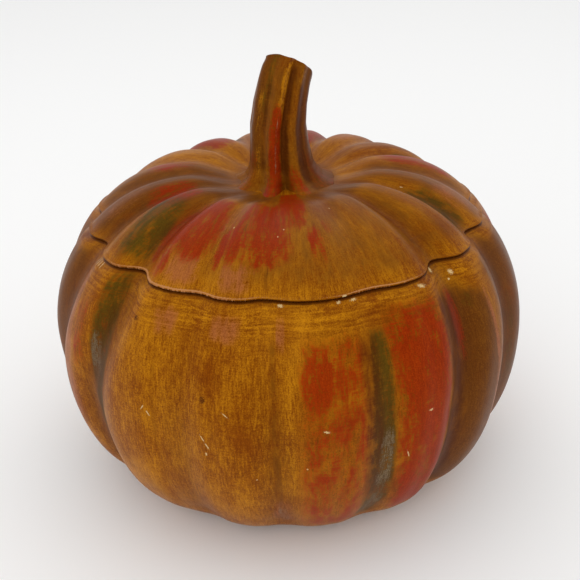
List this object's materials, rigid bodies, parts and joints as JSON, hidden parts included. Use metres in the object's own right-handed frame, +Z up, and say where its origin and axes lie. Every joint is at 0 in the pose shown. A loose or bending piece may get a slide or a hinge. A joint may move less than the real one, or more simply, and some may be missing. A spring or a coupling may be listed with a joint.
{
  "type": "lidded ceramic pumpkin jar",
  "caption": "Hand-painted ceramic pumpkin jar: a ribbed hollow pot on a foot ring, with a lift-off ribbed lid that seats on its rim and a fluted stem as the lid's handle.",
  "frame": {"origin": "centre of the surface that the foot ring stands on, under the middle of the pot", "axes": "+Z up along the jar's axis; the front faces -Y; +X is to the right when the jar is seen from the front"},
  "size_m": [0.1987, 0.1984, 0.1802],
  "materials": {
    "pot_glaze": "hand-brushed golden ochre with red-orange and olive stripes, satin",
    "lid_glaze": "hand-brushed golden ochre with red-orange and olive stripes, satin",
    "stem_glaze": "hand-brushed brown and ochre with a red-orange ridge, satin",
    "bare_clay": "unglazed cream bisque"
  },
  "bodies": {
    "pot": {"pot_shell": "pot_glaze", "foot_ring": "bare_clay"},
    "lid": {"lid_shell": "lid_glaze", "lid_flange": "bare_clay", "stem_handle": "stem_glaze"}
  },
  "joints": [
    {"name": "lid_lift", "type": "slide", "parent": "pot", "child": "lid", "axis": [0, 0, 1], "range_m": [0, 0.15]}
  ]
}
